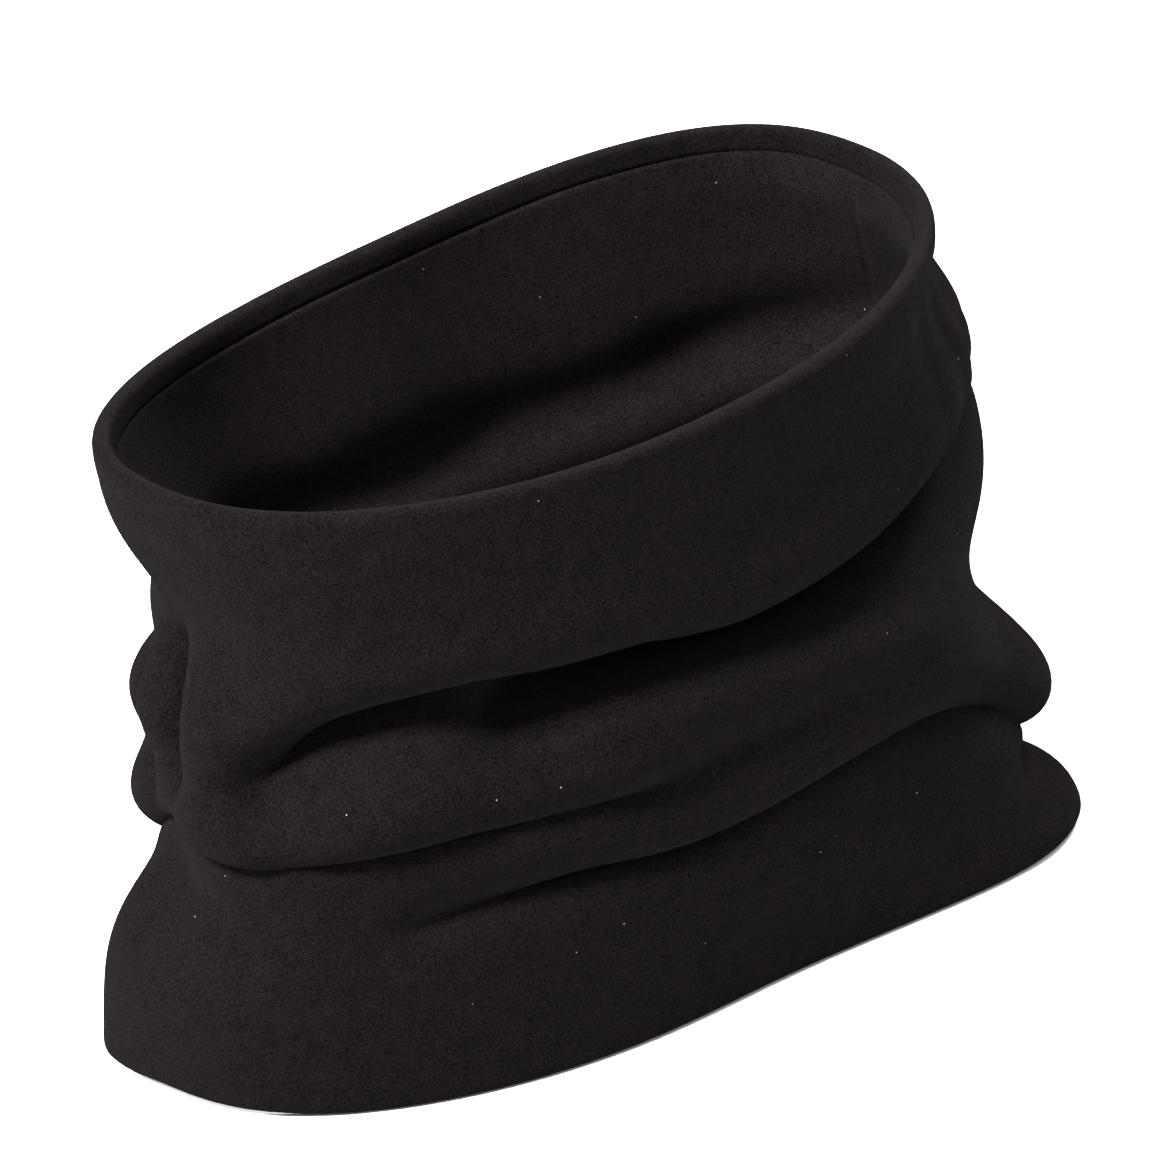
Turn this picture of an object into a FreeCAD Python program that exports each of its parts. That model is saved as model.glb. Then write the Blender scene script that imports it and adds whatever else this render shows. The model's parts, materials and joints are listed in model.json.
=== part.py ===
"""Double-layer fleece neck gaiter, slouched, standing on its hem.

Two fleece tubes are nested: an outer shell and an inner lining. Each is one panel closed by a side
seam. The shell turns over the lining's edges at the rim and at the hem, rows of stitches hold the
layers, one more row closes the gap that the gaiter was turned through, and a folded care label is
caught in the lining's side seam.

Standing slouched, the tube has two tucks that run round it: a skirt stands below the lower tuck, a
roll lies between the two, and a collar rises above the upper tuck to the rim.

+Z is up, X runs along the long axis of the ovals, and the origin is under the middle of the gaiter's
box, in the plane that the hem stands on. Sizes are millimetres and degrees.
"""

import FreeCAD, Part
import math
import os

from FreeCAD import Placement, Rotation, Vector

# Every driving size: alias, value, what it is.
SIZES = [
    ("hem_long", 252.0, "outside length of the hem's oval"),
    ("hem_wide", 84.0, "outside width of the hem's oval"),
    ("hem_turn", -7.0, "how far the hem's oval is turned about Z"),
    ("rim_long", 224.0, "outside length of the rim's oval"),
    ("rim_wide", 112.0, "outside width of the rim's oval"),
    ("rim_turn", 7.0, "how far the rim's oval is turned about Z"),
    ("rim_aside", -6.0, "how far along X the rim's middle stands from the hem's"),
    ("rim_back", 17.0, "how far along Y the rim's middle stands from the hem's"),
    ("slouch_aside", 8.0, "how far along X the fabric between hem and rim sags out of line"),
    ("skirt_rise", 50.0, "height from the hem to the lower tuck"),
    ("roll_rise", 48.0, "height from the lower tuck to the upper tuck"),
    ("collar_rise", 52.0, "height from the upper tuck to the rim"),
    ("skirt_inset", 2.0, "how far the skirt's middle lies inside a straight side"),
    ("lower_inset", 9.0, "how far the lower tuck lies inside a straight side"),
    ("roll_inset", 2.0, "how far the roll's crest lies inside a straight side"),
    ("upper_inset", 9.0, "how far the upper tuck lies inside a straight side"),
    ("collar_inset", 1.0, "how far the collar's middle lies inside a straight side"),
    ("shell_wall", 1.8, "thickness of the shell's fleece"),
    ("lining_wall", 1.8, "thickness of the lining's fleece"),
    ("layer_gap", 0.8, "space between the two layers"),
    ("rim_cover", 5.0, "height of the rim, where the shell turns over the lining's top edge"),
    ("hem_cover", 5.0, "height of the hem, where the shell turns over the lining's lower edge"),
    ("edge_gap", 0.3, "clearance between the lining's edges and the turned shell"),
    ("edge_round", 1.4, "radius that rounds the rim and the hem"),
    ("thread_thick", 0.4, "diameter of the sewing thread"),
    ("stitch_long", 2.6, "length of one stitch"),
    ("stitch_pitch", 3.6, "spacing of the stitches"),
    ("seam_margin", 2.5, "height from the lining's edges to the seam stitches beside them"),
    ("seam_angle", 20.0, "where the lining's side seam stands, about Z from +X"),
    ("seam_apart", 4.0, "how much further round the shell's side seam stands"),
    ("closing_angle", 128.0, "where the closing row starts, about Z from +X"),
    ("closing_long", 76.0, "length of the closing row"),
    ("closing_gap", 0.1, "clearance between the closing row and the lining"),
    ("label_low", 24.0, "height of the care label's lower edge"),
    ("label_tall", 26.0, "height of the care label"),
    ("label_long", 32.0, "how far the care label reaches from the side seam"),
    ("label_leaf", 0.3, "thickness of one leaf of the care label"),
    ("label_slot", 0.3, "space between the care label's two leaves"),
    ("label_gap", 0.6, "clearance between the care label and the lining"),
]

# The ovals that the side passes through, from the hem up: name, height, inset and sag, as formulas.
OVALS = [
    ("hem", "0", "0", "0"),
    ("skirt", "skirt_rise / 2", "skirt_inset", "slouch_aside / 2"),
    ("lower_tuck", "skirt_rise", "lower_inset", "slouch_aside"),
    ("roll", "skirt_rise + roll_rise / 2", "roll_inset", "slouch_aside"),
    ("upper_tuck", "skirt_rise + roll_rise", "upper_inset", "slouch_aside"),
    ("collar", "skirt_rise + roll_rise + collar_rise / 2", "collar_inset", "slouch_aside / 2"),
    ("rim", "skirt_rise + roll_rise + collar_rise", "0", "0"),
]
TOP = "(skirt_rise + roll_rise + collar_rise)"
WALL = "(shell_wall + layer_gap + lining_wall)"
REACH = 600.0  # wider and taller than the gaiter, for shapes that only cut
UP = Vector(0, 0, 1)


def bound(formula):
    """The formula with each size's alias pointed at the spreadsheet."""
    names = {alias for alias, _, _ in SIZES}
    words = formula.replace("(", " ( ").replace(")", " ) ").split()
    return " ".join(f"Sizes.{word}" if word in names else word for word in words)


def make_sheet(doc):
    """The spreadsheet of driving sizes."""
    sheet = doc.addObject("Spreadsheet::Sheet", "Sizes")
    for row, (alias, value, meaning) in enumerate(SIZES, start=1):
        sheet.set(f"A{row}", meaning)
        sheet.set(f"B{row}", str(value))
        sheet.setAlias(f"B{row}", alias)
    doc.recompute()
    return sheet


def make_loft(doc, name, depth):
    """A solid inside the gaiter's side, from hem to rim, at a depth in from its outer face."""
    ovals = []
    for level, height, inset, sag in OVALS:
        share = f"( {height} ) / {TOP}"
        oval = doc.addObject("Part::Ellipse", f"{name}_{level}")
        for radius, size in (("MajorRadius", "long"), ("MinorRadius", "wide")):
            middle = f"( hem_{size} + ( rim_{size} - hem_{size} ) * {share} ) / 2"
            oval.setExpression(radius, bound(f"{middle} - ( {inset} ) - ( {depth} )"))
        oval.setExpression("Placement.Base.x", bound(f"rim_aside * {share} + {sag}"))
        oval.setExpression("Placement.Base.y", bound(f"rim_back * {share}"))
        oval.setExpression("Placement.Base.z", bound(height))
        turn = f"hem_turn + ( rim_turn - hem_turn ) * {share}"
        oval.setExpression("Placement.Rotation.Angle", bound(turn))
        ovals.append(oval)
    loft = doc.addObject("Part::Loft", name)
    loft.Sections = ovals
    loft.Solid = True
    loft.Ruled = True
    return loft


def make_slab(doc, name, low, high):
    """A disc wider than the gaiter between two heights."""
    slab = doc.addObject("Part::Cylinder", name)
    slab.Radius = REACH / 2
    slab.setExpression("Placement.Base.z", bound(low))
    slab.setExpression("Height", bound(f"( {high} ) - ( {low} )"))
    return slab


def combine(doc, kind, name, base, tool):
    """Part::Cut or Part::Common of two objects."""
    result = doc.addObject(f"Part::{kind}", name)
    result.Base = base
    result.Tool = tool
    return result


def round_edges(doc, name, base, heights, radius):
    """The base with its edges that lie flat at the given heights rounded."""
    doc.recompute()
    rounded = doc.addObject("Part::Fillet", name)
    rounded.Base = base
    rounded.Edges = [
        (number, radius, radius)
        for number, edge in enumerate(base.Shape.Edges, start=1)
        if any(abs(edge.BoundBox.ZMin - z) + abs(edge.BoundBox.ZMax - z) < 0.01 for z in heights)
    ]
    return rounded


def make_shell(doc, sheet, outer, bore):
    """The outer shell: a wall that turns over both of the lining's edges, with rounded ends."""
    inside = make_loft(doc, "shell_inside", "shell_wall")
    slab = make_slab(doc, "shell_slab", "hem_cover", f"{TOP} - rim_cover")
    space = combine(doc, "Common", "shell_space", inside, slab)
    tube = combine(doc, "Cut", "shell_tube", outer, bore)
    wall = combine(doc, "Cut", "shell_turned", tube, space)
    top = sheet.skirt_rise + sheet.roll_rise + sheet.collar_rise
    return round_edges(doc, "outer_shell", wall, (0.0, top), sheet.edge_round)


def make_lining(doc, bore):
    """The inner lining: a wall that stops short of the turned shell at both ends."""
    face = make_loft(doc, "lining_face", "shell_wall + layer_gap")
    low = "hem_cover + edge_gap"
    slab = make_slab(doc, "lining_slab", low, f"{TOP} - rim_cover - edge_gap")
    tube = combine(doc, "Common", "lining_tube", face, slab)
    return combine(doc, "Cut", "inner_lining", tube, bore)


def side_line(solid, angle, low, high):
    """The line up a solid's side at an angle about Z, between two heights, one edge to each band."""
    across = Vector(math.cos(math.radians(angle)), math.sin(math.radians(angle)), 0)
    cutter = Part.makePlane(high - low, REACH / 2, Vector(0, 0, low), UP.cross(across), UP)
    return Part.Wire(Part.sortEdges(solid.section(cutter).Edges)[0])


def level_line(solid, height):
    """The closed line round a solid at a height."""
    return solid.slice(UP, height)[0]


def even_points(line, pitch):
    """Points along a line, evenly spaced at about the pitch."""
    return line.discretize(Number=max(2, round(line.Length / pitch) + 1))


def make_stitches(doc, sheet, name, runs):
    """A row of stitches along runs of points: each is a straight length of thread from a point."""
    share = sheet.stitch_long / sheet.stitch_pitch
    threads = []
    for points in runs:
        for start, following in zip(points, points[1:]):
            step = (following - start) * share
            threads.append(Part.makeCylinder(sheet.thread_thick / 2, step.Length, start, step))
    row = doc.addObject("Part::Feature", name)
    row.Shape = Part.makeCompound(threads)
    return row


def make_seams(doc, sheet):
    """The stitches between the layers: one row under the rim, one over the hem, one at each side."""
    middle = make_loft(doc, "seam_face", "shell_wall + layer_gap / 2")
    doc.recompute()
    face = middle.Shape
    top = sheet.skirt_rise + sheet.roll_rise + sheet.collar_rise
    low = sheet.hem_cover + sheet.edge_gap + sheet.seam_margin
    high = top - sheet.rim_cover - sheet.edge_gap - sheet.seam_margin
    rows = []
    for name, height in (("rim_seam_stitches", high), ("hem_seam_stitches", low)):
        points = even_points(level_line(face, height), sheet.stitch_pitch)
        rows.append(make_stitches(doc, sheet, name, [points]))
    clear = sheet.stitch_pitch
    apart = math.degrees(2 * sheet.seam_apart / sheet.hem_long)
    sides = (
        ("lining_side_stitches", sheet.seam_angle),
        ("shell_side_stitches", sheet.seam_angle - apart),
    )
    for name, angle in sides:
        line = side_line(face, angle, low + clear, high - clear)
        runs = [even_points(edge, sheet.stitch_pitch) for edge in line.OrderedEdges]
        rows.append(make_stitches(doc, sheet, name, runs))
    return rows


def make_closing(doc, sheet):
    """The row of stitches on the lining's inside that closes the turning gap."""
    depth = f"{WALL} + closing_gap + thread_thick / 2"
    track = make_loft(doc, "closing_face", depth)
    doc.recompute()
    height = sheet.hem_cover + sheet.edge_gap + sheet.seam_margin
    line = level_line(track.Shape, height)
    points = even_points(line, sheet.stitch_pitch)[:-1]
    middle = line.BoundBox.Center

    def off_angle(point):
        turned = math.degrees(math.atan2(point.y - middle.y, point.x - middle.x))
        return abs((turned - sheet.closing_angle + 180) % 360 - 180)

    start = min(range(len(points)), key=lambda number: off_angle(points[number]))
    count = round(sheet.closing_long / sheet.stitch_pitch) + 1
    chosen = [points[(start + number) % len(points)] for number in range(count)]
    return make_stitches(doc, sheet, "closing_stitches", [chosen])


def make_window(doc, name, start, shorter):
    """A box from a side seam's place back along the wall, less a margin at the label's folded end."""
    window = doc.addObject("Part::Box", name)
    window.Width = REACH / 2
    window.setExpression("Length", bound(f"label_long - ( {shorter} )"))
    window.setExpression("Height", bound("label_tall"))
    window.setExpression("Placement.Base.x", bound(f"{start} - label_long + ( {shorter} )"))
    window.setExpression("Placement.Base.z", bound("label_low"))
    return window


def make_label(doc, sheet, bore):
    """The care label: a strip folded in two, with its ends at the lining's side seam."""
    near = f"{WALL} + label_gap"
    layers = []
    for number, depth in enumerate((
        near,
        f"{near} + label_leaf",
        f"{near} + label_leaf + label_slot",
        f"{near} + label_leaf + label_slot + label_leaf",
    )):
        layers.append(make_loft(doc, f"label_face_{number}", depth))
    high = sheet.label_low + sheet.label_tall
    start = side_line(bore.Shape, sheet.seam_angle, sheet.label_low, high).Vertexes[0].X
    thick = combine(doc, "Cut", "label_thick", layers[0], layers[3])
    slot = combine(doc, "Cut", "label_hollow", layers[1], layers[2])
    strip = combine(doc, "Common", "label_strip", thick, make_window(doc, "label_window", start, "0"))
    hole = make_window(doc, "slot_window", start, "label_leaf")
    hollow = combine(doc, "Common", "label_inside", slot, hole)
    return combine(doc, "Cut", "care_label", strip, hollow)


def check(doc, nodes):
    """Stop if any object failed, or a node is not sound."""
    failed = [item.Name for item in doc.Objects if {"Invalid", "Error"} & set(item.State)]
    if failed:
        raise RuntimeError(f"failed objects: {failed}")
    for node in nodes:
        if node.Shape.isNull() or not node.Shape.isValid() or not node.Shape.Solids:
            raise RuntimeError(f"{node.Name} is not a sound solid")


def main():
    """Build the gaiter and write each of its pieces."""
    doc = FreeCAD.newDocument("neck_gaiter")
    sheet = make_sheet(doc)
    outer = make_loft(doc, "outer_face", "0")
    bore = make_loft(doc, "bore_face", WALL)
    shell = make_shell(doc, sheet, outer, bore)
    nodes = [shell, make_lining(doc, bore)]
    nodes += make_seams(doc, sheet)
    nodes += [make_closing(doc, sheet), make_label(doc, sheet, bore)]
    doc.recompute()
    box = shell.Shape.optimalBoundingBox(False)
    for node in nodes:
        node.Label = node.Name
        node.Placement = Placement(Vector(-box.Center.x, -box.Center.y, 0), Rotation())
    doc.recompute()
    check(doc, nodes)
    os.makedirs("parts", exist_ok=True)
    for node in nodes:
        node.Shape.exportStep(f"parts/{node.Label}.step")
        size = node.Shape.optimalBoundingBox(False)
        print(f"{node.Label}: {len(node.Shape.Solids)} solids, {node.Shape.Volume:.1f} mm3,"
              f" box {size.XMin:.1f} {size.YMin:.1f} {size.ZMin:.1f}"
              f" to {size.XMax:.1f} {size.YMax:.1f} {size.ZMax:.1f}")


main()
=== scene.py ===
"""Double-layer fleece neck gaiter, slouched and standing on its hem.

The outer shell, the lining, their side seams, the rows of stitches and the care label are built as
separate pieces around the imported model, which gives the place and size of everything.
"""

import json
import logging
import math
from dataclasses import dataclass, field
from enum import Enum

import bmesh
import bpy
import numpy as np
from mathutils import Matrix, Vector


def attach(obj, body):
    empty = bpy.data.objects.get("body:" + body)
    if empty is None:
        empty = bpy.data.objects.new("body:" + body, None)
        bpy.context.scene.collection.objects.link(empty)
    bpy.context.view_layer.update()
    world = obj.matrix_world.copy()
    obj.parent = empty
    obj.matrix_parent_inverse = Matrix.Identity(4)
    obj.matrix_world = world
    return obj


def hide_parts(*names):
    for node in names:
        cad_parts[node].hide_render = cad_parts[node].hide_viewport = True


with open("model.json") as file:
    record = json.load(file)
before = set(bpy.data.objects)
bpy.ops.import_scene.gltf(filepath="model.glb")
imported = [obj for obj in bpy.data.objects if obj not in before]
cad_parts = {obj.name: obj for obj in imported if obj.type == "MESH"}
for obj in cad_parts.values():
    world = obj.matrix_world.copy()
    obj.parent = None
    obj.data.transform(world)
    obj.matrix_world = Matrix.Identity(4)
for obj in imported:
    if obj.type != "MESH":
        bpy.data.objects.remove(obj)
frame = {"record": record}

log = logging.getLogger("neck_gaiter")

MM = 0.001
FULL_TURN = 360.0
SEAM = "seam_mm"  # how far each point is from its layer's side seam
COLUMN_SPAN = 1.75  # how many millimetres one column of the drape is taken to span
HALF_TURN = FULL_TURN / 2


class Part(Enum):
    """The modelled parts that the pieces here stand for."""

    SHELL = "outer_shell"
    LINING = "inner_lining"
    LABEL = "care_label"
    RIM_SEAM = "rim_seam_stitches"
    HEM_SEAM = "hem_seam_stitches"
    LINING_SIDE = "lining_side_stitches"
    SHELL_SIDE = "shell_side_stitches"
    CLOSING = "closing_stitches"


def linear(hex_colour: str) -> tuple[float, float, float, float]:
    """Turn an sRGB hex colour into the linear colour that a shader socket takes.

    Args:
        hex_colour: Six hex digits, with or without a leading '#'.

    Returns:
        Red, green, blue and an alpha of 1.
    """
    digits = hex_colour.lstrip("#")
    channels = [int(digits[start:start + 2], 16) / 255 for start in (0, 2, 4)]
    return (*(c / 12.92 if c <= 0.04045 else ((c + 0.055) / 1.055) ** 2.4 for c in channels), 1.0)


def round_path(points: list[tuple[float, float]], angle: np.ndarray, blur: float = 7.0) -> np.ndarray:
    """Read a value that changes smoothly round the tube.

    Args:
        points: Pairs of an angle in degrees and the value there, in rising order of angle.
        angle: Angles in degrees to read the value at.
        blur: How far, in degrees, the corners between the points are smoothed.

    Returns:
        The value at each angle.
    """
    steps = np.arange(0.0, FULL_TURN, 1.0)
    known = np.array(points, dtype=float)
    values = np.interp(steps, known[:, 0], known[:, 1], period=FULL_TURN)
    waves = np.fft.rfftfreq(len(steps), d=1.0)
    softened = np.fft.irfft(np.fft.rfft(values) * np.exp(-2 * (math.pi * waves * blur) ** 2), len(steps))
    return np.interp(angle % FULL_TURN, steps, softened, period=FULL_TURN)


def apart(angle: np.ndarray, centre: float) -> np.ndarray:
    """Signed degrees from a centre angle, the short way round."""
    return (angle - centre + 180.0) % FULL_TURN - 180.0


@dataclass(frozen=True)
class Oval:
    """The plan outline of the tube at one level, in millimetres and degrees."""

    middle: tuple[float, float]
    half_long: float
    half_wide: float
    turn: float
    square: float
    bow: float
    skew: float = 0.0

    def towards(self, other: "Oval", share: np.ndarray) -> dict[str, np.ndarray]:
        """Mix this outline's measures with another's.

        Args:
            other: The outline at the far level.
            share: How far towards the other outline, from 0 to 1.

        Returns:
            Each measure by name, one value to each share.
        """
        names = ("half_long", "half_wide", "turn", "square", "bow", "skew")
        mixed = {n: getattr(self, n) + (getattr(other, n) - getattr(self, n)) * share for n in names}
        mixed["x"] = self.middle[0] + (other.middle[0] - self.middle[0]) * share
        mixed["y"] = self.middle[1] + (other.middle[1] - self.middle[1]) * share
        return mixed


@dataclass(frozen=True)
class Fold:
    """A fold along a line on the tube's side.

    The line's points are an angle and a height. Angles run from the right-hand end, 0, by the back, 90,
    and the left-hand end, 180, to the front, 270, and go on past 360. The other lists give sizes in
    millimetres at the same points: how far the line is hollowed, how far the fabric on its left stands
    out and the fabric on its right stands in, and how far the fabric hangs over from left to right.
    """

    line: list[tuple[float, float]]
    hollow: list[float]
    stand: list[float]
    hang: list[float]
    width: float

    def spots(self, round_of: np.ndarray) -> np.ndarray:
        """Points along the smoothed line.

        Args:
            round_of: The distance round the tube at each whole degree, from 0 to 720.

        Returns:
            Rows of distance round, height, hollow, stand and hang.
        """
        known = np.array([(*point, *sizes) for point, *sizes in
                          zip(self.line, self.hollow, self.stand, self.hang)], dtype=float)
        known[:, 0] = np.interp(known[:, 0], np.arange(len(round_of)), round_of)
        padded = np.vstack([2 * known[0] - known[1], known, 2 * known[-1] - known[-2]])
        share = np.linspace(0.0, 1.0, 6, endpoint=False)[:, None]
        runs = []
        for before, start, end, after in zip(padded, padded[1:], padded[2:], padded[3:]):
            slope_in, slope_out = (end - before) / 2, (after - start) / 2
            bend = 2 * (start - end) + slope_in + slope_out
            sweep = 3 * (end - start) - 2 * slope_in - slope_out
            runs.append(start + slope_in * share + sweep * share ** 2 + bend * share ** 3)
        runs.append(known[-1:])
        return np.vstack(runs)

    def shift(self, around: np.ndarray, rise: np.ndarray,
              round_of: np.ndarray) -> tuple[np.ndarray, np.ndarray, np.ndarray]:
        """How far the fold moves the fabric.

        Args:
            around: Distance round the tube of each point, one row to each column of the tube.
            rise: Height of each point on the straight side, the same shape.
            round_of: The distance round the tube at each whole degree, from 0 to 720.

        Returns:
            The outward movement, the movement round the tube and the upward movement.
        """
        spots = self.spots(round_of)
        girth = round_of[360]
        best = np.full(rise.shape, 1e9)
        found = np.zeros((*rise.shape, 6))
        for start, end in zip(spots, spots[1:]):
            step = end[:2] - start[:2]
            length = math.hypot(*step)
            reach = 3 * self.width + length
            nearby = np.abs((around[:, 0] - start[0] + girth / 2) % girth - girth / 2) < reach
            block = np.ix_(nearby, np.abs(rise[0] - start[1]) < reach)
            to_x = (around[block] - start[0] + girth / 2) % girth - girth / 2
            to_z = rise[block] - start[1]
            share = np.clip((to_x * step[0] + to_z * step[1]) / length ** 2, 0, 1)
            far = np.hypot(to_x - share * step[0], to_z - share * step[1])
            closer = far < best[block]
            best[block] = np.where(closer, far, best[block])
            side = np.where(step[0] * to_z - step[1] * to_x >= 0, 1.0, -1.0)
            values = start[2:] + (end[2:] - start[2:]) * share[..., None]
            normal = np.broadcast_to(np.array([-step[1], step[0]]) / length, (*far.shape, 2))
            fresh = np.concatenate([values, normal, side[..., None]], axis=-1)
            found[block] = np.where(closer[..., None], fresh, found[block])
        near = best / self.width
        bell = np.exp(-near ** 2)
        hollow, stand, hang = found[..., 0], found[..., 1], found[..., 2]
        signed = near * found[..., 5]
        out = stand * math.sqrt(2 * math.e) * signed * bell - hollow * bell
        return out, -hang * bell * found[..., 3], -hang * bell * found[..., 4]


@dataclass(frozen=True)
class Swell:
    """A band that stands out, or in where it is negative, along a line round the tube."""

    height: list[tuple[float, float]]
    size: list[tuple[float, float]]
    width: float
    blur: float = 7.0

    def shift(self, angle: np.ndarray, rise: np.ndarray) -> np.ndarray:
        """The outward movement of each point of the straight side."""
        near = (rise - round_path(self.height, angle, self.blur)) / self.width
        return round_path(self.size, angle, self.blur) * np.exp(-near ** 2)


@dataclass(frozen=True)
class Dimple:
    """A local hollow, or a bump where its depth is negative."""

    angle: float
    height: float
    depth: float
    across: float
    tall: float
    lean: float = 0.0

    def shift(self, angle: np.ndarray, rise: np.ndarray) -> np.ndarray:
        """The outward movement of each point of the straight side."""
        side = apart(angle, self.angle)
        lifted = rise - self.height
        along = side - self.lean * lifted
        return -self.depth * np.exp(-(along / self.across) ** 2 - (lifted / self.tall) ** 2)


@dataclass(frozen=True)
class Puckers:
    """Short upright ridges where the fabric is drawn together."""

    angle: float
    height: float
    size: float
    pitch: float
    across: float
    tall: float
    lean: float = 0.0

    def shift(self, angle: np.ndarray, rise: np.ndarray) -> np.ndarray:
        """The outward movement of each point of the straight side."""
        side = apart(angle, self.angle)
        lifted = rise - self.height
        along = side - self.lean * lifted
        fade = np.exp(-(side / self.across) ** 2 - (lifted / self.tall) ** 2)
        return self.size * fade * np.cos(2 * math.pi * along / self.pitch)


@dataclass(frozen=True)
class Layup:
    """How thick the two fleece layers are, in millimetres from the face between them."""

    wall: float = 1.8
    gap: float = 0.8

    @property
    def middle(self) -> float:
        """Distance from the face between the layers to the middle of either layer."""
        return (self.gap + self.wall) / 2


@dataclass
class Drape:
    """The slouched tube: the face between its two layers, with every fold it has."""

    hem: Oval
    rim: Oval
    top: float
    foot: float
    columns: int = 384
    rows: int = 118
    folds: list[Fold] = field(default_factory=list)
    swells: list[Swell] = field(default_factory=list)
    dimples: list[Dimple] = field(default_factory=list)
    puckers: list[Puckers] = field(default_factory=list)
    flares: list[Swell] = field(default_factory=list)
    hem_lift: list[tuple[float, float]] = field(default_factory=lambda: [(0.0, 0.0), (180.0, 0.0)])

    def outline(self, angle: np.ndarray, rise: np.ndarray) -> tuple[np.ndarray, np.ndarray]:
        """Points on the straight side.

        Args:
            angle: Angles in degrees.
            rise: Heights in millimetres, the same shape as the angles.

        Returns:
            X and Y in millimetres.
        """
        oval = self.hem.towards(self.rim, rise / self.top)
        turn = np.radians(oval["turn"])
        across, along = np.cos(np.radians(angle)), np.sin(np.radians(angle))
        reach = (np.abs(across) ** oval["square"] + np.abs(along) ** oval["square"]) ** (-1 / oval["square"])
        u = oval["half_long"] * reach * across
        v = oval["half_wide"] * reach * along + oval["bow"] * (reach * across) ** 2
        v = v - oval["skew"] * (reach * across) ** 3
        return (
            oval["x"] + u * np.cos(turn) - v * np.sin(turn),
            oval["y"] + u * np.sin(turn) + v * np.cos(turn),
        )

    def rounds(self) -> np.ndarray:
        """The distance round the tube, at half height, at each whole degree from 0 to 720."""
        angle = np.arange(0.0, 2 * FULL_TURN + 1)
        x, y = self.outline(angle, np.full_like(angle, self.top / 2))
        return np.concatenate([[0.0], np.cumsum(np.hypot(np.diff(x), np.diff(y)))])

    def even_angles(self) -> np.ndarray:
        """Angles that put the columns the same distance apart at half height."""
        fine = np.linspace(0.0, FULL_TURN, 2881)
        x, y = self.outline(fine, np.full_like(fine, self.top / 2))
        length = np.concatenate([[0.0], np.cumsum(np.hypot(np.diff(x), np.diff(y)))])
        return np.interp(np.arange(self.columns) / self.columns * length[-1], length, fine)

    def place(self, angle: np.ndarray, rise: np.ndarray) -> np.ndarray:
        """Points on the draped face.

        Args:
            angle: Angles in degrees.
            rise: Heights on the straight side, the same shape as the angles.

        Returns:
            X, Y and Z in millimetres, in the last axis.
        """
        out = np.zeros_like(rise)
        lift = np.zeros_like(rise)
        slide = np.zeros_like(rise)
        round_of = self.rounds()
        around = np.interp(angle, np.arange(len(round_of)), round_of)
        for fold in self.folds:
            outward, sideways, upward = fold.shift(around, rise, round_of)
            out += outward
            slide += sideways
            lift += upward
        for piece in (*self.swells, *self.dimples, *self.puckers):
            out += piece.shift(angle, rise)
        edges = np.clip(rise / 9.0, 0, 1) * np.clip((self.top - rise) / 5.0, 0, 1)
        lift *= np.clip(rise / 14.0, 0, 1) * np.clip((self.top - rise) / 10.0, 0, 1)
        lift += round_path(self.hem_lift, angle) * np.clip(1 - rise / self.top, 0, 1) ** 4
        slide *= np.clip(rise / 14.0, 0, 1) * np.clip((self.top - rise) / 10.0, 0, 1)
        twice_round = np.concatenate([round_of, round_of[1:] + round_of[-1]])
        angle = np.interp(around + round_of[int(FULL_TURN)] + slide, twice_round,
                          np.arange(len(twice_round))) - FULL_TURN
        step = 0.5
        x, y = self.outline(angle, rise)
        x_on, y_on = self.outline(angle + step, rise)
        x_off, y_off = self.outline(angle - step, rise)
        run = np.hypot(x_on - x_off, y_on - y_off)
        out = out * edges
        for flare in self.flares:
            out = out + flare.shift(angle, rise)
        z = self.foot + rise * (1 - self.foot / self.top) + lift
        return np.stack([x + out * (y_on - y_off) / run, y - out * (x_on - x_off) / run, z], axis=-1)

    def face(self) -> np.ndarray:
        """The draped face as a grid, evenly spaced up each column.

        Returns:
            An array of columns by rows by X, Y, Z in millimetres, from hem to rim.
        """
        fine = np.linspace(0.0, self.top, 451)
        angle, rise = np.meshgrid(self.even_angles(), fine, indexing="ij")
        points = self.place(angle, rise)
        steps = np.linalg.norm(np.diff(points, axis=1), axis=2)
        length = np.concatenate([np.zeros((self.columns, 1)), np.cumsum(steps, axis=1)], axis=1)
        shares = np.linspace(0.0, 1.0, self.rows + 1)
        grid = np.empty((self.columns, self.rows + 1, 3))
        for column in range(self.columns):
            at = shares * length[column, -1]
            for axis in range(3):
                grid[column, :, axis] = np.interp(at, length[column], points[column, :, axis])
        return grid


def grid_normals(grid: np.ndarray) -> np.ndarray:
    """Unit normals that point out of a closed tube's grid."""
    around = np.roll(grid, -1, axis=0) - np.roll(grid, 1, axis=0)
    upward = np.gradient(grid, axis=1)
    normal = np.cross(around, upward)
    return normal / np.linalg.norm(normal, axis=2, keepdims=True)


def tube_mesh(name: str, grid: np.ndarray) -> bpy.types.Object:
    """A tube of quads whose points are a grid.

    Args:
        name: The piece's name.
        grid: Columns by rows by X, Y, Z in millimetres.

    Returns:
        The new object.
    """
    columns, rows = grid.shape[:2]
    bm = bmesh.new()
    spot = bm.verts.layers.int.new("grid_place")
    bmesh.ops.create_cone(bm, cap_ends=False, segments=columns, radius1=1, radius2=1, depth=rows - 1)
    uprights = [edge for edge in bm.edges if abs(edge.verts[0].co.z - edge.verts[1].co.z) > 0.5]
    bmesh.ops.subdivide_edges(bm, edges=uprights, cuts=rows - 2, use_grid_fill=True)
    for vert in bm.verts:
        turn = math.atan2(vert.co.y, vert.co.x) / (2 * math.pi)
        column = round(turn * columns) % columns
        row = round(vert.co.z + (rows - 1) / 2)
        vert[spot] = column * rows + row
        vert.co = Vector(grid[column, row] * MM)
    bmesh.ops.recalc_face_normals(bm, faces=bm.faces)
    for face in bm.faces:
        face.smooth = True
    mesh = bpy.data.meshes.new(name)
    bm.to_mesh(mesh)
    bm.free()
    piece = bpy.data.objects.new(name, mesh)
    piece["rows"] = rows
    bpy.context.collection.objects.link(piece)
    return piece


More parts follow.
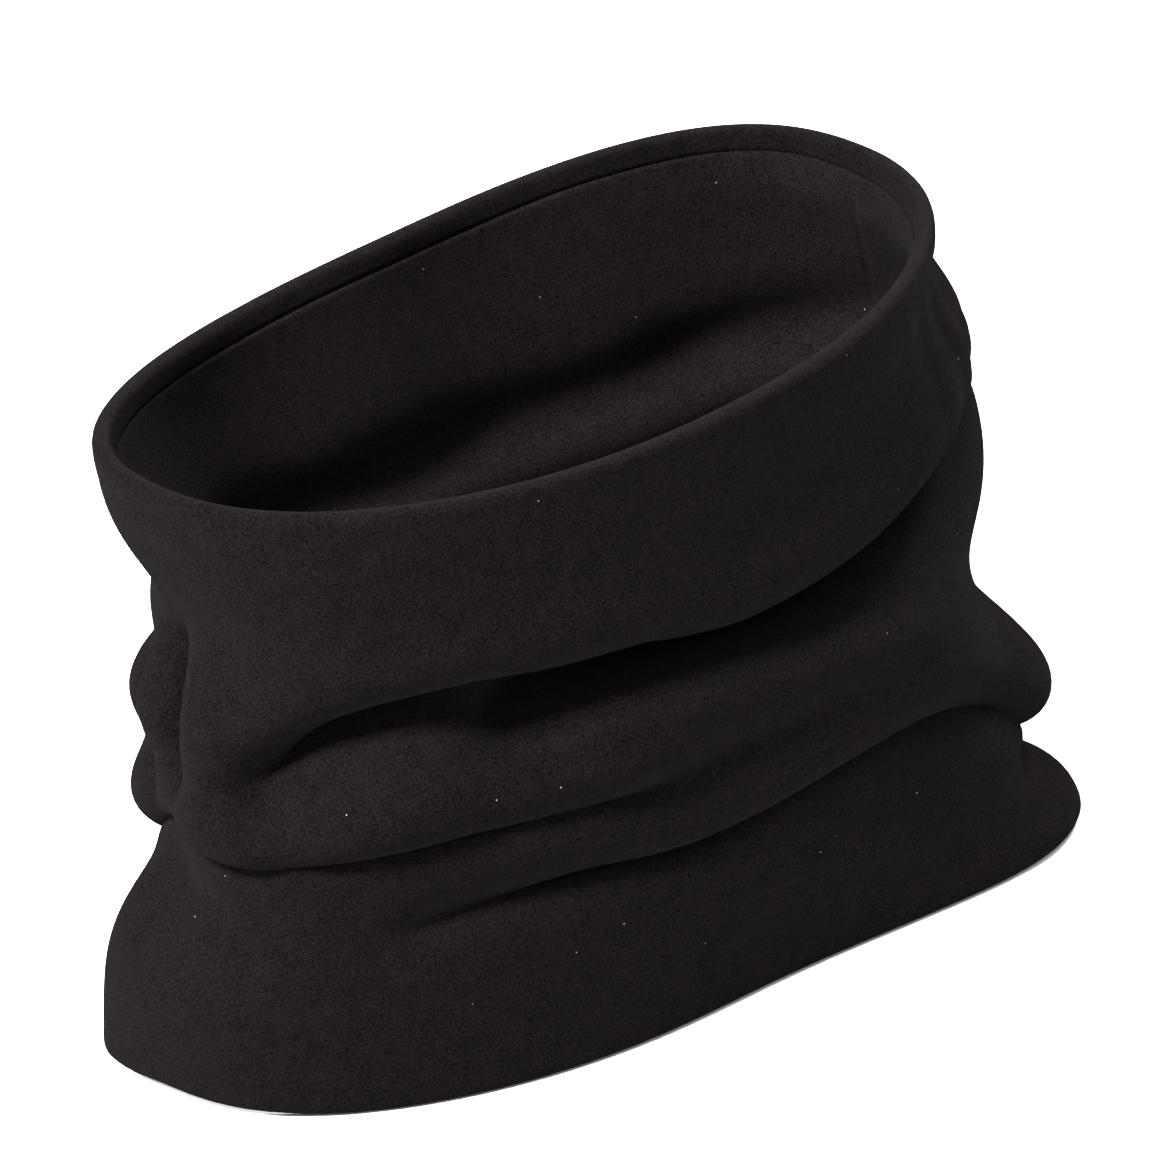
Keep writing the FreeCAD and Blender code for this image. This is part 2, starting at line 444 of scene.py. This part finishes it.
def add_wall(piece: bpy.types.Object, thickness: float) -> None:
    """Give a sheet its thickness, half to each side, in millimetres."""
    wall = piece.modifiers.new("wall", "SOLIDIFY")
    wall.thickness = thickness * MM
    wall.offset = 0.0
    wall.use_even_offset = False
    wall.use_quality_normals = True


def gaiter_drape() -> Drape:
    """The slouch of this gaiter: a collar, a roll and a skirt, with the tucks between them."""
    mounts = {mount["name"]: mount for mount in frame["record"]["mounts"]}
    hem_x, hem_y, _ = mounts["hem_opening"]["pos_m"]
    rim_x, rim_y, top = mounts["rim_opening"]["pos_m"]
    inset = Layup().middle + Layup().wall / 2
    return Drape(
        hem=Oval((hem_x / MM - 2.5, hem_y / MM - 3.2), 125.5 - inset, 41.5 - inset, -5.5, 2.6, 8.5, 5.5),
        rim=Oval((rim_x / MM - 2.5, rim_y / MM - 1.0), 112.5 - inset, 56.5 - inset, 7.0, 2.3, 10.0),
        top=top / MM - inset,
        foot=inset,
        hem_lift=[(0, 0), (160, 0), (180, 2.5), (198, 3.5), (212, 1.5), (226, 0)],
        flares=[
            Swell(  # the hem's own outline, which is fuller at both ends of its front edge
                height=[(0, 0)],
                size=[(12, -11), (30, -6), (60, 0), (160, 0), (178, 1), (196, -2), (215, 0), (245, 1),
                      (260, 0), (280, -5), (298, -2),
                      (314, 4), (328, 2), (342, -5), (356, -11)],
                width=18.0,
            ),
        ],
        folds=[
            Fold(  # the collar's lower edge, which hangs over the roll
                line=[(236, 110), (248, 107), (262, 103), (276, 102), (292, 105), (308, 112), (325, 117),
                      (340, 116), (355, 110), (375, 103), (400, 98), (435, 95), (475, 99), (505, 104),
                      (525, 106)],
                hollow=[0, 1, 2, 2, 2, 3, 3, 3, 1, 0, 0, 0, 0, 0, 0],
                stand=[0, 2, 4, 5, 5, 6, 5, 4, 4, 4, 4, 3, 3, 2, 0],
                hang=[0, 3, 6, 7, 9, 11, 11, 8, 6, 5, 4, 4, 4, 3, 0],
                width=8.0,
            ),
            Fold(  # the deep hollow that the collar's overhang hides
                line=[(250, 100), (262, 97), (275, 95), (290, 96), (304, 99), (318, 101), (332, 99),
                      (350, 94)],
                hollow=[0, 4, 7, 9, 11, 9, 1, 0],
                stand=[0, 0, 0, 0, 0, 0, 0, 0],
                hang=[0, 0, 0, 0, 0, 0, 0, 0],
                width=9.0,
            ),
            Fold(  # the crease that runs from the left up to the collar's edge
                line=[(207, 72), (208, 80), (211, 88), (216, 96), (224, 103), (234, 107), (246, 107),
                      (258, 104)],
                hollow=[0, 3, 5, 5, 5, 3, 2, 0],
                stand=[0, 0, 1, 2, 3, 3, 2, 0],
                hang=[0, 0, 1, 2, 4, 4, 3, 0],
                width=6.5,
            ),
            Fold(  # the wide valley beside that crease
                line=[(209, 72), (211, 78), (214, 84), (220, 90), (230, 96), (243, 98), (258, 97)],
                hollow=[0, 5, 8, 10, 10, 9, 4],
                stand=[0, 0, 0, 0, 0, 0, 0],
                hang=[0, 0, 0, 0, 0, 0, 0],
                width=9.5,
            ),
            Fold(  # the notch at the left-hand end of the roll's ridge
                line=[(238, 84), (240, 89), (245, 94), (252, 98), (264, 99)],
                hollow=[2, 8, 9, 7, 3],
                stand=[0, 1, 1, 0, 0],
                hang=[0, 0, 0, 0, 0],
                width=8.5,
            ),
            Fold(  # the roll's lower edge at the left-hand end, which hangs over the skirt
                line=[(90, 52), (120, 55), (150, 62), (172, 69), (188, 72), (200, 71), (211, 71.5),
                      (222, 72.5),
                      (235, 74), (246, 73.5), (256, 71.5), (267, 69)],
                hollow=[0, 0, 0, 0, 0, 0, 0, 0, 0, 0, 0, 0],
                stand=[0, 2, 3, 3, 4, 4, 4, 4, 3, 2, 2, 0],
                hang=[0, 4, 5, 5, 6, 7, 7, 6, 5, 4, 3, 0],
                width=6.5,
            ),
            Fold(  # the upright fold behind the pocket at the left-hand end
                line=[(165, 106), (167, 93), (171, 81), (178, 73)],
                hollow=[0, 3, 3, 0],
                stand=[0, 2, 2, 0],
                hang=[0, 1, 1, 0],
                width=4.5,
            ),
            Fold(  # the pocket at the left-hand end, under the collar's upright edge
                line=[(182, 114), (188, 104), (192, 93), (195, 83), (197, 75)],
                hollow=[0, 4, 6, 4, 0],
                stand=[1, 4, 5, 4, 0],
                hang=[0, 4, 5, 4, 0],
                width=6.5,
            ),
            Fold(  # the roll's lower edge at the right-hand end
                line=[(229, 41), (234, 47), (241, 52), (251, 54), (263, 53), (273, 56), (284, 59),
                      (296, 58),
                      (306, 53), (316, 43), (326, 32), (345, 25), (370, 29), (400, 38), (440, 45), (475, 45)],
                hollow=[1, 4, 4, 3, 2, 1, 0, 0, 0, 0, 0, 0, 0, 0, 0, 0],
                stand=[0, 1, 2, 3, 4, 5, 5, 5, 5, 4, 4, 3, 3, 3, 2, 0],
                hang=[0, 1, 3, 4, 6, 8, 9, 9, 9, 8, 7, 6, 5, 4, 3, 0],
                width=7.0,
            ),
            Fold(  # the roll's ridge
                line=[(246, 86), (254, 85), (262, 84), (272, 81), (290, 76), (305, 66), (318, 53),
                      (330, 42),
                      (345, 38)],
                hollow=[0, -3, -5, -6, -7, -6, -5, -4, -2],
                stand=[0, 0, 0, 0, 0, 0, 0, 0, 0],
                hang=[0, 0, 0, 0, 0, 0, 0, 0, 0],
                width=10.0,
            ),
        ],
        swells=[
            Swell(  # the waist under the collar at the left-hand end
                height=[(0, 111)], size=[(0, 0), (120, -3), (150, -14), (190, -12), (215, -3), (240, 0)],
                width=19.0,
            ),
            Swell(  # the hollow between the roll and the skirt at the left-hand end
                height=[(0, 50)], size=[(0, 0), (120, -4), (150, -11), (185, -15), (212, -4), (240, 0)],
                width=17.0,
            ),
            Swell(height=[(0, 76)], size=[(0, 0), (130, 0), (155, -10), (185, -9), (205, 0)], width=12.0),
            Swell(  # the roll's right-hand end, which sits inside the skirt
                height=[(0, 15)], size=[(0, -11), (40, -3), (90, 0), (300, 0), (316, -3), (328, -14),
                                        (345, -17)],
                width=9.0,
            ),
            Swell(  # the collar draws in a little above its overhang at the right-hand end
                height=[(0, 136)], size=[(0, -3), (60, 0), (290, 0), (320, -3), (340, -3)], width=9.0,
            ),
            Swell(  # the hollow below the collar at the right-hand end
                height=[(0, 56), (300, 58)], size=[(0, -12), (40, -6), (120, -3), (150, 0), (280, 0),
                                                   (305, -4),
                                                   (325, -14), (345, -19)],
                width=21.0,
            ),
        ],
        dimples=[
            Dimple(angle=62, height=112, depth=2.2, across=9, tall=30, lean=0.05),
            Dimple(angle=84, height=104, depth=-2.0, across=10, tall=36),
            Dimple(angle=104, height=108, depth=2.2, across=9, tall=30, lean=-0.05),
            Dimple(angle=130, height=112, depth=-1.5, across=12, tall=30),
            Dimple(angle=290, height=124, depth=1.5, across=16, tall=14),
            Dimple(angle=262, height=124, depth=-1.5, across=14, tall=16),
        ],
        puckers=[Puckers(angle=318, height=126, size=0.6, pitch=8.0, across=12, tall=14, lean=0.15)],
    )


@dataclass
class Track:
    """Reads places on the draped face, between its columns and rows too."""

    face: np.ndarray
    centre: tuple[float, float]

    def __post_init__(self) -> None:
        self.normal = grid_normals(self.face)

    def at(self, column: np.ndarray, row: np.ndarray, out: float) -> np.ndarray:
        """Points a distance out from the face.

        Args:
            column: Columns, whole or between, going round.
            row: Rows, whole or between, going up.
            out: Distance out from the face in millimetres.

        Returns:
            X, Y and Z in millimetres, one row to each point.
        """
        moved = self.face + out * self.normal
        left = np.floor(column).astype(int)
        low = np.clip(np.floor(row).astype(int), 0, self.face.shape[1] - 2)
        across, up = (column - left)[:, None], (row - low)[:, None]
        left, right = left % len(self.face), (left + 1) % len(self.face)
        below = moved[left, low] * (1 - across) + moved[right, low] * across
        above = moved[left, low + 1] * (1 - across) + moved[right, low + 1] * across
        return below * (1 - up) + above * up

    def column(self, turn: float, row: int) -> float:
        """The column that stands at an angle about the hem's middle, on one row."""
        x, y = self.face[:, row, 0] - self.centre[0], self.face[:, row, 1] - self.centre[1]
        off = (np.degrees(np.arctan2(y, x)) - turn + HALF_TURN) % FULL_TURN - HALF_TURN
        start = int(np.argmin(np.where(off <= 0, -off, 1e9)))
        after = (start + 1) % len(off)
        return start - off[start] / (off[after] - off[start])

    def seam(self, turn: float) -> np.ndarray:
        """The columns of a side seam that stands at an angle, one to each row."""
        count = len(self.face)
        columns = np.array([self.column(turn, row) for row in range(self.face.shape[1])])
        columns = (columns + count / 2) % count - count / 2
        return np.convolve(np.pad(columns, 8, mode="edge"), np.ones(17) / 17, mode="valid")

    def along(self, column: np.ndarray, row: np.ndarray, out: float, pitch: float) -> np.ndarray:
        """Points evenly spaced along a line on the face."""
        line = self.at(column, row, out)
        length = np.concatenate([[0.0], np.cumsum(np.linalg.norm(np.diff(line, axis=0), axis=1))])
        spots = np.linspace(0.0, length[-1], max(2, round(length[-1] / pitch) + 1))
        return np.stack([np.interp(spots, length, line[:, axis]) for axis in range(3)], axis=1)


@dataclass(frozen=True)
class Seams:
    """Where the gaiter is sewn, in degrees about the hem's middle and in millimetres."""

    lining_turn: float = 20.0
    shell_turn: float = 18.2
    closing_turn: float = 128.0
    closing_long: float = 76.0
    margin: float = 7.8
    pitch: float = 3.6
    stitch: float = 2.6
    thread: float = 0.4

    def stitches(self, name: str, points: np.ndarray) -> bpy.types.Object:
        """A row of stitches, each a slim bead of thread.

        Args:
            name: The piece's name.
            points: Points in millimetres; a stitch reaches from each towards the next.

        Returns:
            The new object.
        """
        bm = bmesh.new()
        share = self.stitch / self.pitch
        thick = self.thread / 2 * MM
        for start, following in zip(points, points[1:]):
            step = Vector((following - start) * share * MM)
            middle = Vector(start * MM) + step / 2
            turn = step.to_track_quat("Z", "X").to_matrix().to_4x4()
            size = Matrix.Diagonal((thick, thick, step.length / 2, 1.0))
            bmesh.ops.create_uvsphere(bm, u_segments=8, v_segments=6, radius=1.0,
                                      matrix=Matrix.Translation(middle) @ turn @ size)
        for face in bm.faces:
            face.smooth = True
        mesh = bpy.data.meshes.new(name)
        bm.to_mesh(mesh)
        bm.free()
        piece = bpy.data.objects.new(name, mesh)
        bpy.context.collection.objects.link(piece)
        return piece

    def rows(self, track: Track, layup: Layup) -> dict[Part, np.ndarray]:
        """The points of every row of stitches.

        Args:
            track: The draped face.
            layup: The two layers' thicknesses.

        Returns:
            Points in millimetres, by the part that the row stands for.
        """
        face = track.face
        columns = np.arange(len(face) + 1, dtype=float)
        tall = face.shape[1] - 1
        per_row = float(np.linalg.norm(face[0, 40] - face[0, 41]))
        inset = self.margin / per_row
        level = np.ones_like(columns)
        found = {
            Part.RIM_SEAM: track.along(columns, level * (tall - inset), 0.0, self.pitch),
            Part.HEM_SEAM: track.along(columns, level * inset, 0.0, self.pitch),
        }
        upright = np.arange(math.ceil(inset) + 3, tall - math.ceil(inset) - 2, dtype=float)
        for part, turn in ((Part.LINING_SIDE, self.lining_turn), (Part.SHELL_SIDE, self.shell_turn)):
            line = np.interp(upright, np.arange(tall + 1), track.seam(turn))
            found[part] = track.along(line, upright, 0.0, self.pitch)
        start = track.column(self.closing_turn, round(inset))
        closing = start + np.arange(0.0, self.closing_long / COLUMN_SPAN)
        inside = -(layup.middle + layup.wall / 2 + self.thread / 2)
        found[Part.CLOSING] = track.along(closing, np.full_like(closing, inset), inside, self.pitch)
        return found

    def build(self, track: Track, layup: Layup) -> dict[Part, bpy.types.Object]:
        """Every row of stitches as its own piece.

        Args:
            track: The draped face.
            layup: The two layers' thicknesses.

        Returns:
            The pieces, by the part that each stands for.
        """
        return {part: self.stitches(part.value.replace("stitches", "thread"), points)
                for part, points in self.rows(track, layup).items()}


def mark_seam(piece: bpy.types.Object, columns: np.ndarray) -> None:
    """Store on each point of a tube its distance from the side seam, in millimetres.

    Args:
        piece: The tube.
        columns: The seam's column, one to each row of the drape.
    """
    mesh = piece.data
    spots = np.empty(len(mesh.vertices), dtype=np.int32)
    mesh.attributes["grid_place"].data.foreach_get("value", spots)
    tall = int(piece["rows"])
    count = len(spots) // tall
    seam_of = np.interp(np.linspace(0, 1, tall), np.linspace(0, 1, len(columns)), columns)
    off = (spots // tall - seam_of[spots % tall] + count / 2) % count - count / 2
    layer = mesh.attributes.new(SEAM, "FLOAT", "POINT")
    layer.data.foreach_set("value", off * COLUMN_SPAN)


@dataclass(frozen=True)
class Label:
    """The care label: a strip of tape folded in two, with its ends caught in the lining's seam."""

    long: float = 32.0
    tall: float = 26.0
    low: float = 24.0
    slot: float = 0.6
    leaf: float = 0.3
    clear: float = 1.0
    curl: float = 2.2
    column_span: float = 1.82  # how many millimetres one column is taken to span beside the label

    def build(self, track: Track, seam: np.ndarray, inside: float) -> bpy.types.Object:
        """The label, a little curved where it hangs free of the lining.

        Args:
            track: The draped face.
            seam: The lining's seam, one column to each row.
            inside: Distance from the face to the lining's inner side.

        Returns:
            The label as a sheet with a thickness.
        """
        steps, bend, rows = 16, 6, 12
        heights = track.face[round(float(seam[20])) % len(track.face), :, 2]
        low = int(np.argmax(heights > self.low))
        per_row = float(np.linalg.norm(track.face[0, 40] - track.face[0, 41]))
        bm = bmesh.new()
        count = 2 * steps + bend
        bmesh.ops.create_grid(bm, x_segments=count, y_segments=rows, size=1.0)
        for vert in bm.verts:
            across = round((vert.co.x + 1) / 2 * count)
            up = (vert.co.y + 1) / 2
            row = low + up * self.tall / per_row
            if across <= steps:
                away, deep = across / steps, self.clear
            elif across >= steps + bend:
                away, deep = (count - across) / steps, self.clear + self.slot
            else:
                turn = math.pi * (across - steps) / bend
                away = 1 + self.slot / 2 / self.long * math.sin(turn)
                deep = self.clear + self.slot / 2 * (1 - math.cos(turn))
            start = float(np.interp(row, np.arange(len(seam)), seam))
            curl = self.curl * away ** 2 * (0.4 + 0.6 * up)
            place = track.at(np.array([start + away * self.long / self.column_span]), np.array([row]),
                             -(inside + deep + curl))
            vert.co = Vector(place[0] * MM)
        bmesh.ops.recalc_face_normals(bm, faces=bm.faces)
        for face in bm.faces:
            face.smooth = True
        mesh = bpy.data.meshes.new("care_tape")
        bm.to_mesh(mesh)
        bm.free()
        piece = bpy.data.objects.new("care_tape", mesh)
        bpy.context.collection.objects.link(piece)
        add_wall(piece, self.leaf)
        return piece


@dataclass
class Shell:
    """The outer fleece tube, which turns over the lining at the rim and at the hem."""

    layup: Layup = Layup()
    arc_steps: int = 7
    return_rows: int = 3

    def lip(self, edge: np.ndarray, upward: np.ndarray, outward: np.ndarray) -> list[np.ndarray]:
        """Rows round the turned edge, from the outside over to the inside.

        Args:
            edge: The points in the middle of the turn.
            upward: The direction out of the tube's end at each point.
            outward: The direction out of the tube's side at each point.

        Returns:
            One array of points to each row.
        """
        rows = []
        for step in range(1, self.arc_steps):
            bend = math.pi * step / self.arc_steps
            rows.append(edge + self.layup.middle * (math.cos(bend) * outward + math.sin(bend) * upward))
        return rows

    def grid(self, face: np.ndarray) -> np.ndarray:
        """The shell's middle surface, with both turned edges."""
        normal = grid_normals(face)
        middle = self.layup.middle
        outer = face + middle * normal
        inner = face - middle * normal
        up = face[:, -1] - face[:, -2]
        up /= np.linalg.norm(up, axis=1, keepdims=True)
        down = face[:, 0] - face[:, 1]
        down /= np.linalg.norm(down, axis=1, keepdims=True)
        rows = [inner[:, row] for row in range(self.return_rows, -1, -1)]
        rows += self.lip(face[:, 0], down, normal[:, 0])[::-1]
        rows += [outer[:, row] for row in range(face.shape[1])]
        rows += self.lip(face[:, -1], up, normal[:, -1])
        rows += [inner[:, -1 - row] for row in range(self.return_rows + 1)]
        return np.stack(rows, axis=1)

    def build(self, face: np.ndarray) -> bpy.types.Object:
        """The shell as a sheet with a wall."""
        piece = tube_mesh("fleece_shell", self.grid(face))
        add_wall(piece, self.layup.wall)
        return piece


@dataclass
class Lining:
    """The inner fleece tube, whose edges lie under the shell's turned edges."""

    layup: Layup = Layup()
    short_rows: int = 3
    ease: float = 0.05

    def build(self, face: np.ndarray) -> bpy.types.Object:
        """The lining as a sheet with a wall."""
        inner = face - self.layup.middle * grid_normals(face)
        grid = inner[:, self.short_rows:-self.short_rows].copy()
        grid[:, 0] += self.ease * (grid[:, 1] - grid[:, 0])
        grid[:, -1] += self.ease * (grid[:, -2] - grid[:, -1])
        piece = tube_mesh("fleece_lining", grid)
        add_wall(piece, self.layup.wall)
        return piece


class Graph:
    """A material or a world, and the nodes it is made of."""

    def __init__(self, owner: bpy.types.Material | bpy.types.World) -> None:
        owner.use_nodes = True
        self.owner = owner
        self.tree = owner.node_tree
        self.tree.nodes.clear()

    def add(self, kind: str, inputs: dict | None = None, **settings: object) -> bpy.types.Node:
        """Add a node with its settings and links.

        Args:
            kind: The node's type.
            inputs: Sockets by name or number; each takes a value, or a pair of a node and its output.
            settings: The node's own settings.

        Returns:
            The new node.
        """
        node = self.tree.nodes.new(kind)
        for setting, value in settings.items():
            setattr(node, setting, value)
        for socket, value in (inputs or {}).items():
            if isinstance(value, tuple) and isinstance(value[0], bpy.types.Node):
                self.tree.links.new(value[0].outputs[value[1]], node.inputs[socket])
            else:
                node.inputs[socket].default_value = value
        return node


@dataclass(frozen=True)
class Fleece:
    """Brushed polyester microfleece: a soft short nap that scatters light and hides the knit."""

    name: str
    colour: str
    shade: str
    lint: str = "9A9694"
    nap_mm: float = 0.5
    patch_mm: float = 5.0
    pile_mm: float = 0.4
    lint_mm: float = 0.14
    lint_apart_mm: float = 9.0
    sheen: float = 0.008

    def build(self) -> bpy.types.Material:
        """The fleece as a node material."""
        graph = Graph(bpy.data.materials.new(self.name))
        place = (graph.add("ShaderNodeTexCoord"), "Object")
        nap = graph.add("ShaderNodeTexNoise", {"Vector": place, "Scale": 1000 / self.nap_mm, "Detail": 4.0,
                                               "Roughness": 0.75})
        patch = graph.add("ShaderNodeTexNoise", {"Vector": place, "Scale": 1000 / self.patch_mm,
                                                 "Detail": 2.0})
        mixed = graph.add("ShaderNodeMath", {0: (patch, "Fac"), 1: 0.12, 2: (nap, "Fac")},
                          operation="MULTIPLY_ADD")
        tone = graph.add("ShaderNodeMapRange", {"Value": (mixed, 0), "From Min": 0.42, "From Max": 0.68})
        fleece = graph.add("ShaderNodeMix", {0: (tone, 0), 6: linear(self.shade), 7: linear(self.colour)},
                           data_type="RGBA")
        lint = graph.add("ShaderNodeTexVoronoi", {"Vector": place, "Scale": 1000 / self.lint_apart_mm})
        speck = graph.add("ShaderNodeMath", {0: (lint, "Distance"), 1: self.lint_mm / self.lint_apart_mm},
                          operation="LESS_THAN")
        colour = graph.add("ShaderNodeMix", {0: (speck, 0), 6: (fleece, 2), 7: linear(self.lint)},
                           data_type="RGBA")
        seam = graph.add("ShaderNodeAttribute", attribute_name=SEAM)
        away = graph.add("ShaderNodeMath", {0: (seam, "Fac")}, operation="ABSOLUTE")
        near = graph.add("ShaderNodeMapRange", {"Value": (away, 0), "From Min": 0.0, "From Max": 2.0},
                         interpolation_type="SMOOTHSTEP")
        groove = graph.add("ShaderNodeBump", {"Strength": 0.5, "Distance": 0.6 * MM, "Height": (near, 0)})
        pile = graph.add("ShaderNodeBump", {"Strength": 0.8, "Distance": self.pile_mm * MM,
                                            "Height": (mixed, 0), "Normal": (groove, 0)})
        shader = graph.add("ShaderNodeBsdfPrincipled", {
            "Base Color": (colour, 2), "Roughness": 1.0, "Specular IOR Level": 0.0,
            "Sheen Weight": self.sheen, "Sheen Roughness": 0.45, "Normal": (pile, 0),
        })
        graph.add("ShaderNodeOutputMaterial", {"Surface": (shader, 0)})
        return graph.owner


@dataclass(frozen=True)
class Thread:
    """Spun polyester sewing thread with a fine twist."""

    name: str = "thread"
    colour: str = "1A1817"
    twist_mm: float = 0.35

    def build(self) -> bpy.types.Material:
        """The thread as a node material."""
        graph = Graph(bpy.data.materials.new(self.name))
        place = (graph.add("ShaderNodeTexCoord"), "Object")
        twist = graph.add("ShaderNodeTexWave", {"Vector": place, "Scale": 1000 / self.twist_mm / 3.1,
                                                "Distortion": 1.5}, bands_direction="DIAGONAL")
        bump = graph.add("ShaderNodeBump", {"Strength": 0.5, "Distance": 0.05 * MM, "Height": (twist, "Fac")})
        shader = graph.add("ShaderNodeBsdfPrincipled", {
            "Base Color": linear(self.colour), "Roughness": 0.55, "Specular IOR Level": 0.3,
            "Normal": (bump, 0),
        })
        graph.add("ShaderNodeOutputMaterial", {"Surface": (shader, 0)})
        return graph.owner


@dataclass(frozen=True)
class Satin:
    """Woven satin label tape: fine even threads with a soft lustre."""

    name: str = "label_satin"
    colour: str = "3A3837"
    shade: str = "2C2A29"
    thread_mm: float = 0.3

    def build(self) -> bpy.types.Material:
        """The label's tape as a node material."""
        graph = Graph(bpy.data.materials.new(self.name))
        place = (graph.add("ShaderNodeTexCoord"), "Object")
        weave = graph.add("ShaderNodeTexWave", {"Vector": place, "Scale": 1000 / self.thread_mm / 3.1},
                          bands_direction="Z")
        colour = graph.add("ShaderNodeMix", {0: (weave, "Fac"), 6: linear(self.shade),
                                             7: linear(self.colour)}, data_type="RGBA")
        bump = graph.add("ShaderNodeBump", {"Strength": 0.3, "Distance": 0.04 * MM, "Height": (weave, "Fac")})
        shader = graph.add("ShaderNodeBsdfPrincipled", {
            "Base Color": (colour, 2), "Roughness": 0.5, "Specular IOR Level": 0.4, "Normal": (bump, 0),
        })
        graph.add("ShaderNodeOutputMaterial", {"Surface": (shader, 0)})
        return graph.owner


@dataclass(frozen=True)
class Lamp:
    """A round soft light: its place and size in metres and its power in watts."""

    name: str
    place: tuple[float, float, float]
    size: float
    power: float

    def build(self, target: Vector) -> None:
        """The light, turned to face the target."""
        lamp = bpy.data.lights.new(self.name, "AREA")
        lamp.shape = "DISK"
        lamp.size = self.size
        lamp.energy = self.power
        holder = bpy.data.objects.new(self.name, lamp)
        bpy.context.collection.objects.link(holder)
        holder.location = Vector(self.place)
        holder.rotation_euler = (target - Vector(self.place)).to_track_quat("-Z", "Y").to_euler()


@dataclass(frozen=True)
class Studio:
    """The camera, the pale floor and the soft light round the gaiter."""

    target_mm: tuple[float, float, float] = (6.9, 10.0, 75.0)
    azimuth: float = -40.2
    elevation: float = 30.0
    distance: float = 1.2
    lens: float = 164.0
    sensor: float = 36.0
    floor_half: float = 6.0
    floor_colour: str = "D0D0D0"
    floor_roughness: float = 0.9
    overhead: float = 3.2
    horizon: float = 0.05
    lamps: tuple[Lamp, ...] = (
        Lamp("key", (-1.75, -0.1, 1.95), 0.5, 300.0),
        Lamp("rim", (1.6, 0.6, 1.5), 0.6, 120.0),
    )

    def build(self) -> None:
        """Everything round the gaiter."""
        target = Vector(self.target_mm) * MM
        self.make_camera(target)
        self.make_floor()
        for lamp in self.lamps:
            lamp.build(target)
        bpy.context.scene.view_settings.view_transform = "Standard"
        self.make_sky()

    def make_camera(self, target: Vector) -> None:
        """The camera, turned to face the target."""
        azimuth, elevation = math.radians(self.azimuth), math.radians(self.elevation)
        back = Vector((math.sin(azimuth) * math.cos(elevation), -math.cos(azimuth) * math.cos(elevation),
                       math.sin(elevation)))
        camera = bpy.data.cameras.new("camera")
        camera.sensor_width = self.sensor
        camera.lens = self.lens
        holder = bpy.data.objects.new("camera", camera)
        bpy.context.collection.objects.link(holder)
        holder.location = target + back * self.distance
        holder.rotation_euler = (-back).to_track_quat("-Z", "Y").to_euler()
        bpy.context.scene.camera = holder

    def make_floor(self) -> None:
        """The pale floor that the gaiter stands on."""
        bm = bmesh.new()
        bmesh.ops.create_grid(bm, x_segments=1, y_segments=1, size=self.floor_half)
        mesh = bpy.data.meshes.new("floor")
        bm.to_mesh(mesh)
        bm.free()
        floor = bpy.data.objects.new("floor", mesh)
        bpy.context.collection.objects.link(floor)
        graph = Graph(bpy.data.materials.new("pale_floor"))
        shader = graph.add("ShaderNodeBsdfPrincipled", {
            "Base Color": linear(self.floor_colour), "Roughness": self.floor_roughness,
        })
        graph.add("ShaderNodeOutputMaterial", {"Surface": (shader, 0)})
        mesh.materials.append(graph.owner)

    def make_sky(self) -> None:
        """A sky that is bright overhead and dim towards the horizon."""
        world = bpy.data.worlds.new("studio")
        bpy.context.scene.world = world
        graph = Graph(world)
        split = graph.add("ShaderNodeSeparateXYZ", {0: (graph.add("ShaderNodeTexCoord"), "Generated")})
        squared = graph.add("ShaderNodeMath", {0: (split, "Z"), 1: (split, "Z")}, operation="MULTIPLY")
        scaled = graph.add("ShaderNodeMath", {0: (squared, 0), 1: self.overhead, 2: self.horizon},
                           operation="MULTIPLY_ADD")
        glow = graph.add("ShaderNodeBackground", {"Color": (1.0, 1.0, 1.0, 1.0), "Strength": (scaled, 0)})
        graph.add("ShaderNodeOutputWorld", {"Surface": (glow, 0)})


def main() -> None:
    """Build the gaiter's pieces in order and dress them."""
    logging.basicConfig(level=logging.INFO)
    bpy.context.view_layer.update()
    drape = gaiter_drape()
    layup, seams = Layup(), Seams()
    face = drape.face()
    hem = next(mount for mount in frame["record"]["mounts"] if mount["name"] == "hem_opening")
    track = Track(face, (hem["pos_m"][0] / MM, hem["pos_m"][1] / MM))
    shell = Shell(layup).build(face)
    lining = Lining(layup).build(face)
    mark_seam(shell, track.seam(seams.shell_turn))
    mark_seam(lining, track.seam(seams.lining_turn))
    label = Label().build(track, track.seam(seams.lining_turn), layup.middle + layup.wall / 2)
    pieces = {Part.SHELL: shell, Part.LINING: lining, Part.LABEL: label}
    pieces |= seams.build(track, layup)
    finishes = {
        Part.SHELL: Fleece("shell_fleece", "141110", "040404"),
        # The lining is the same fleece as the shell; its lighter colours are painted light on the inside of
        # the tube.
        Part.LINING: Fleece("lining_fleece", "191514", "050505"),
        Part.LABEL: Satin(),
    }
    thread = Thread()
    materials = {finish.name: finish.build() for finish in (*finishes.values(), thread)}
    for part, piece in pieces.items():
        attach(piece, "root")
        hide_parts(part.value)
        slot = finishes.get(part, thread).name
        piece.data.materials.append(materials[slot])
        log.info("%s stands for %s, finished in %s", piece.name, part.value, slot)
    Studio().build()


if __name__ == "__main__":
    main()
